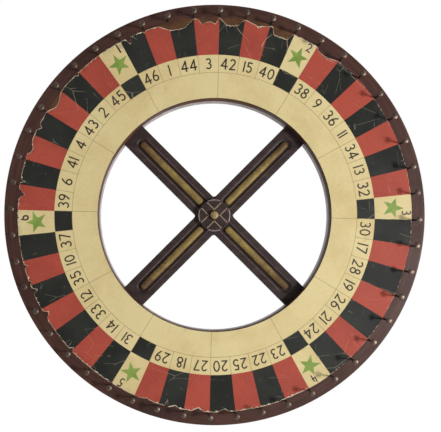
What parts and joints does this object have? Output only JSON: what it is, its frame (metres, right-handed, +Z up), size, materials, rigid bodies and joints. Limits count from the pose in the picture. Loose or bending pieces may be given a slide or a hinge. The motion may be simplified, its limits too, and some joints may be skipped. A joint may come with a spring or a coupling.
{
  "type": "gaming wheel",
  "caption": "Wall-hung numbered gaming wheel: wooden rim with a pasted number and star layout, domed nails, crossed spokes with gold beads, and a bushed hub on a fixed spindle.",
  "frame": {"origin": "centre of the wall plate's back face, on the spindle's axis", "axes": "+Y runs along the spindle into the wall, the wheel's numbered face looks along -Y, +Z is up"},
  "size_m": [0.762, 0.098, 0.762],
  "materials": {
    "rim_paint": "worn dark maroon gloss paint on wood",
    "rim_wood": "aged brown-stained softwood",
    "layout_paper": "varnished printed paper, creased and torn at its edge",
    "spoke_paint": "satin near-black maroon paint",
    "gold_paint": "dulled gold paint",
    "nail_bronze": "aged bronze, rubbed on the dome",
    "hub_brass": "tarnished brass",
    "black_iron": "blacked iron",
    "bare_steel": "oiled turned steel",
    "leather_washer": "oiled leather"
  },
  "bodies": {
    "mount": {"wall_plate": "black_iron", "spindle": "bare_steel", "thrust_washer": "leather_washer", "front_washer": "black_iron", "cap_nut": "hub_brass"},
    "wheel": {"rim_back_ring": "rim_wood", "rim_front_ring": "rim_paint", "layout_sheet": "layout_paper", "hub_disc": "spoke_paint", "hub_bush": "hub_brass", "spoke_bar_falling": "spoke_paint", "spoke_bar_rising": "spoke_paint", "nail_01": "nail_bronze", "nail_02": "nail_bronze", "nail_03": "nail_bronze", "nail_04": "nail_bronze", "nail_05": "nail_bronze", "nail_06": "nail_bronze", "nail_07": "nail_bronze", "nail_08": "nail_bronze", "nail_09": "nail_bronze", "nail_10": "nail_bronze", "nail_11": "nail_bronze", "nail_12": "nail_bronze", "nail_13": "nail_bronze", "nail_14": "nail_bronze", "nail_15": "nail_bronze", "nail_16": "nail_bronze", "nail_17": "nail_bronze", "nail_18": "nail_bronze", "nail_19": "nail_bronze", "nail_20": "nail_bronze", "nail_21": "nail_bronze", "nail_22": "nail_bronze", "nail_23": "nail_bronze", "nail_24": "nail_bronze", "nail_25": "nail_bronze", "nail_26": "nail_bronze", "nail_27": "nail_bronze", "nail_28": "nail_bronze", "nail_29": "nail_bronze", "nail_30": "nail_bronze", "nail_31": "nail_bronze", "nail_32": "nail_bronze", "nail_33": "nail_bronze", "nail_34": "nail_bronze", "nail_35": "nail_bronze", "nail_36": "nail_bronze", "nail_37": "nail_bronze", "nail_38": "nail_bronze", "nail_39": "nail_bronze", "nail_40": "nail_bronze", "nail_41": "nail_bronze", "nail_42": "nail_bronze", "nail_43": "nail_bronze", "nail_44": "nail_bronze", "nail_45": "nail_bronze", "nail_46": "nail_bronze", "nail_47": "nail_bronze", "nail_48": "nail_bronze"}
  },
  "joints": [
    {"name": "wheel_spin", "type": "hinge", "parent": "mount", "child": "wheel", "pos_m": [0, -0.045, 0], "axis": [0, -1, 0], "continuous": true}
  ]
}
